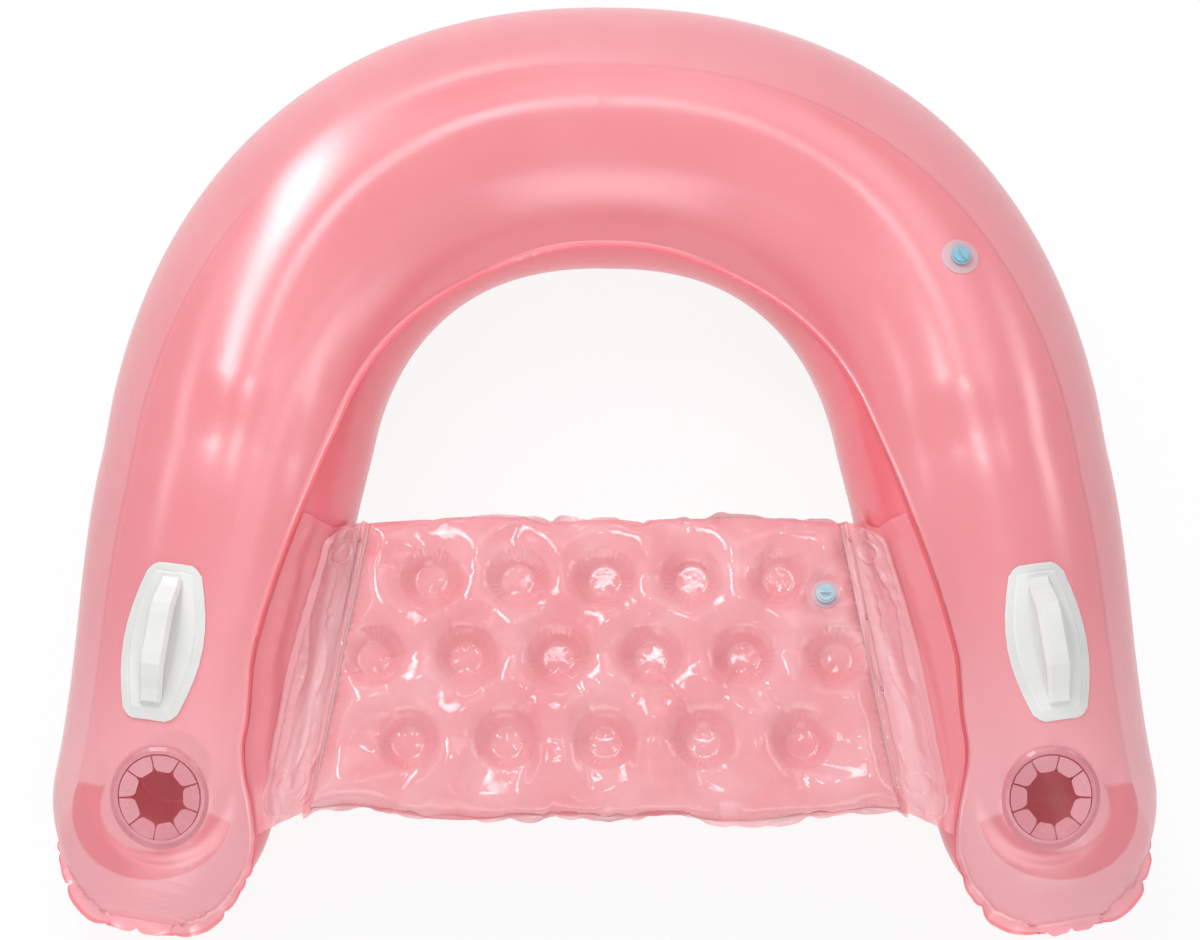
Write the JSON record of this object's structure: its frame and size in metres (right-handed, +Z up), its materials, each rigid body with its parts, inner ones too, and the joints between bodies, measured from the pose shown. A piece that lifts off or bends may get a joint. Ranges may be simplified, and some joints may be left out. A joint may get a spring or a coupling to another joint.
{
  "type": "inflatable pool chair",
  "caption": "U-shaped floating pool chair: a tapered inflated ring, a tufted seat slung between its arms, petalled cup holders, moulded handles and push-in valves.",
  "frame": {"origin": "middle of the base of the bounding box, where the ring stands on the floor", "axes": "+Z up; +Y towards the arch that backs the sitter; the arms reach to -Y; +X is the side with both valves"},
  "size_m": [1.1014, 0.9792, 0.282],
  "materials": {
    "film_pink": "glossy, translucent",
    "film_pink_deep": "glossy, translucent",
    "film_pink_pale": "glossy, translucent",
    "cup_pink": "satin",
    "white_vinyl": "satin, moulded",
    "clear_vinyl": "clear, glossy",
    "blue_vinyl": "glossy, tinted"
  },
  "bodies": {
    "chair": {"cup_collar_left": "cup_pink", "cup_collar_right": "cup_pink", "cup_floor_left": "cup_pink", "cup_floor_right": "cup_pink", "cup_pocket_left": "cup_pink", "cup_pocket_right": "cup_pink", "handle_left": "white_vinyl", "handle_right": "white_vinyl", "ring_bottom_sheet": "film_pink_deep", "ring_top_sheet": "film_pink", "ring_valve_flange": "clear_vinyl", "seat_bottom_sheet": "film_pink_deep", "seat_strip_left": "film_pink_pale", "seat_strip_right": "film_pink_pale", "seat_top_sheet": "film_pink", "seat_valve_flange": "clear_vinyl", "seat_web_left": "film_pink_pale", "seat_web_right": "film_pink_pale"},
    "cup_petal_left_1": {"cup_petal_left_1": "cup_pink"},
    "cup_petal_left_2": {"cup_petal_left_2": "cup_pink"},
    "cup_petal_left_3": {"cup_petal_left_3": "cup_pink"},
    "cup_petal_left_4": {"cup_petal_left_4": "cup_pink"},
    "cup_petal_left_5": {"cup_petal_left_5": "cup_pink"},
    "cup_petal_left_6": {"cup_petal_left_6": "cup_pink"},
    "cup_petal_left_7": {"cup_petal_left_7": "cup_pink"},
    "cup_petal_left_8": {"cup_petal_left_8": "cup_pink"},
    "cup_petal_left_9": {"cup_petal_left_9": "cup_pink"},
    "cup_petal_right_1": {"cup_petal_right_1": "cup_pink"},
    "cup_petal_right_2": {"cup_petal_right_2": "cup_pink"},
    "cup_petal_right_3": {"cup_petal_right_3": "cup_pink"},
    "cup_petal_right_4": {"cup_petal_right_4": "cup_pink"},
    "cup_petal_right_5": {"cup_petal_right_5": "cup_pink"},
    "cup_petal_right_6": {"cup_petal_right_6": "cup_pink"},
    "cup_petal_right_7": {"cup_petal_right_7": "cup_pink"},
    "cup_petal_right_8": {"cup_petal_right_8": "cup_pink"},
    "cup_petal_right_9": {"cup_petal_right_9": "cup_pink"},
    "ring_valve_stem": {"ring_valve_stem": "blue_vinyl"},
    "ring_valve_plug": {"ring_valve_plug": "blue_vinyl"},
    "ring_valve_flap": {"ring_valve_flap": "blue_vinyl"},
    "seat_valve_stem": {"seat_valve_stem": "blue_vinyl"},
    "seat_valve_plug": {"seat_valve_plug": "blue_vinyl"},
    "seat_valve_flap": {"seat_valve_flap": "blue_vinyl"}
  },
  "joints": [
    {"name": "petal_left_1", "type": "hinge", "parent": "chair", "child": "cup_petal_left_1", "pos_m": [-0.42807, -0.41562, 0.1694], "axis": [-0.9792, -0.1511, -0.1353], "range_deg": [0, 60], "stiffness_Nm_per_rad": 0.002},
    {"name": "petal_left_2", "type": "hinge", "parent": "chair", "child": "cup_petal_left_2", "pos_m": [-0.4061, -0.40411, 0.17762], "axis": [-0.6094, -0.657, -0.4438], "range_deg": [0, 60], "stiffness_Nm_per_rad": 0.002},
    {"name": "petal_left_3", "type": "hinge", "parent": "chair", "child": "cup_petal_left_3", "pos_m": [-0.39714, -0.38211, 0.19167], "axis": [-0.011, -0.8534, -0.5211], "range_deg": [0, 60], "stiffness_Nm_per_rad": 0.002},
    {"name": "petal_left_4", "type": "hinge", "parent": "chair", "child": "cup_petal_left_4", "pos_m": [-0.40557, -0.35989, 0.20464], "axis": [0.613, -0.6923, -0.3807], "range_deg": [0, 60], "stiffness_Nm_per_rad": 0.002},
    {"name": "petal_left_5", "type": "hinge", "parent": "chair", "child": "cup_petal_left_5", "pos_m": [-0.42779, -0.34779, 0.2111], "axis": [0.9816, -0.1731, -0.0804], "range_deg": [0, 60], "stiffness_Nm_per_rad": 0.002},
    {"name": "petal_left_6", "type": "hinge", "parent": "chair", "child": "cup_petal_left_6", "pos_m": [-0.45322, -0.35149, 0.20845], "axis": [0.8546, 0.442, 0.2727], "range_deg": [0, 60], "stiffness_Nm_per_rad": 0.002},
    {"name": "petal_left_7", "type": "hinge", "parent": "chair", "child": "cup_petal_left_7", "pos_m": [-0.46956, -0.36934, 0.19716], "axis": [0.3095, 0.8008, 0.5128], "range_deg": [0, 60], "stiffness_Nm_per_rad": 0.002},
    {"name": "petal_left_8", "type": "hinge", "parent": "chair", "child": "cup_petal_left_8", "pos_m": [-0.4693, -0.39296, 0.18211], "axis": [-0.3227, 0.7993, 0.5069], "range_deg": [0, 60], "stiffness_Nm_per_rad": 0.002},
    {"name": "petal_left_9", "type": "hinge", "parent": "chair", "child": "cup_petal_left_9", "pos_m": [-0.45288, -0.41124, 0.17108], "axis": [-0.847, 0.4666, 0.2548], "range_deg": [0, 60], "stiffness_Nm_per_rad": 0.002},
    {"name": "petal_right_1", "type": "hinge", "parent": "chair", "child": "cup_petal_right_1", "pos_m": [0.42807, -0.41562, 0.1694], "axis": [-0.9792, 0.1511, 0.1353], "range_deg": [0, 60], "stiffness_Nm_per_rad": 0.002},
    {"name": "petal_right_2", "type": "hinge", "parent": "chair", "child": "cup_petal_right_2", "pos_m": [0.4061, -0.40411, 0.17762], "axis": [-0.6094, 0.657, 0.4438], "range_deg": [0, 60], "stiffness_Nm_per_rad": 0.002},
    {"name": "petal_right_3", "type": "hinge", "parent": "chair", "child": "cup_petal_right_3", "pos_m": [0.39714, -0.38211, 0.19167], "axis": [-0.011, 0.8534, 0.5211], "range_deg": [0, 60], "stiffness_Nm_per_rad": 0.002},
    {"name": "petal_right_4", "type": "hinge", "parent": "chair", "child": "cup_petal_right_4", "pos_m": [0.40557, -0.35989, 0.20464], "axis": [0.613, 0.6923, 0.3807], "range_deg": [0, 60], "stiffness_Nm_per_rad": 0.002},
    {"name": "petal_right_5", "type": "hinge", "parent": "chair", "child": "cup_petal_right_5", "pos_m": [0.42779, -0.34779, 0.2111], "axis": [0.9816, 0.1731, 0.0804], "range_deg": [0, 60], "stiffness_Nm_per_rad": 0.002},
    {"name": "petal_right_6", "type": "hinge", "parent": "chair", "child": "cup_petal_right_6", "pos_m": [0.45322, -0.35149, 0.20845], "axis": [0.8546, -0.442, -0.2727], "range_deg": [0, 60], "stiffness_Nm_per_rad": 0.002},
    {"name": "petal_right_7", "type": "hinge", "parent": "chair", "child": "cup_petal_right_7", "pos_m": [0.46956, -0.36934, 0.19716], "axis": [0.3095, -0.8008, -0.5128], "range_deg": [0, 60], "stiffness_Nm_per_rad": 0.002},
    {"name": "petal_right_8", "type": "hinge", "parent": "chair", "child": "cup_petal_right_8", "pos_m": [0.4693, -0.39296, 0.18211], "axis": [-0.3227, -0.7993, -0.5069], "range_deg": [0, 60], "stiffness_Nm_per_rad": 0.002},
    {"name": "petal_right_9", "type": "hinge", "parent": "chair", "child": "cup_petal_right_9", "pos_m": [0.45288, -0.41124, 0.17108], "axis": [-0.847, -0.4666, -0.2548], "range_deg": [0, 60], "stiffness_Nm_per_rad": 0.002},
    {"name": "ring_stem_slide", "type": "slide", "parent": "chair", "child": "ring_valve_stem", "axis": [0.1604, 0.0448, 0.986], "range_m": [0, 0.01]},
    {"name": "ring_plug_slide", "type": "slide", "parent": "ring_valve_stem", "child": "ring_valve_plug", "axis": [0.1604, 0.0448, 0.986], "range_m": [0, 0.012]},
    {"name": "ring_flap_hinge", "type": "hinge", "parent": "ring_valve_stem", "child": "ring_valve_flap", "pos_m": [0.35122, 0.16179, 0.2562], "axis": [0.8976, 0.409, -0.1645], "range_deg": [0, 35], "stiffness_Nm_per_rad": 0.0002},
    {"name": "seat_stem_slide", "type": "slide", "parent": "chair", "child": "seat_valve_stem", "axis": [0, 0, 1], "range_m": [0, 0.01]},
    {"name": "seat_plug_slide", "type": "slide", "parent": "seat_valve_stem", "child": "seat_valve_plug", "axis": [0, 0, 1], "range_m": [0, 0.012]},
    {"name": "seat_flap_hinge", "type": "hinge", "parent": "seat_valve_stem", "child": "seat_valve_flap", "pos_m": [0.21456, -0.16401, 0.14395], "axis": [0, 1, 0], "range_deg": [0, 35], "stiffness_Nm_per_rad": 0.0002}
  ],
  "couplings": [
    {"joint": "petal_left_2", "follows": "petal_left_1", "ratio": 1},
    {"joint": "petal_left_3", "follows": "petal_left_1", "ratio": 1},
    {"joint": "petal_left_4", "follows": "petal_left_1", "ratio": 1},
    {"joint": "petal_left_5", "follows": "petal_left_1", "ratio": 1},
    {"joint": "petal_left_6", "follows": "petal_left_1", "ratio": 1},
    {"joint": "petal_left_7", "follows": "petal_left_1", "ratio": 1},
    {"joint": "petal_left_8", "follows": "petal_left_1", "ratio": 1},
    {"joint": "petal_left_9", "follows": "petal_left_1", "ratio": 1},
    {"joint": "petal_right_2", "follows": "petal_right_1", "ratio": 1},
    {"joint": "petal_right_3", "follows": "petal_right_1", "ratio": 1},
    {"joint": "petal_right_4", "follows": "petal_right_1", "ratio": 1},
    {"joint": "petal_right_5", "follows": "petal_right_1", "ratio": 1},
    {"joint": "petal_right_6", "follows": "petal_right_1", "ratio": 1},
    {"joint": "petal_right_7", "follows": "petal_right_1", "ratio": 1},
    {"joint": "petal_right_8", "follows": "petal_right_1", "ratio": 1},
    {"joint": "petal_right_9", "follows": "petal_right_1", "ratio": 1}
  ]
}
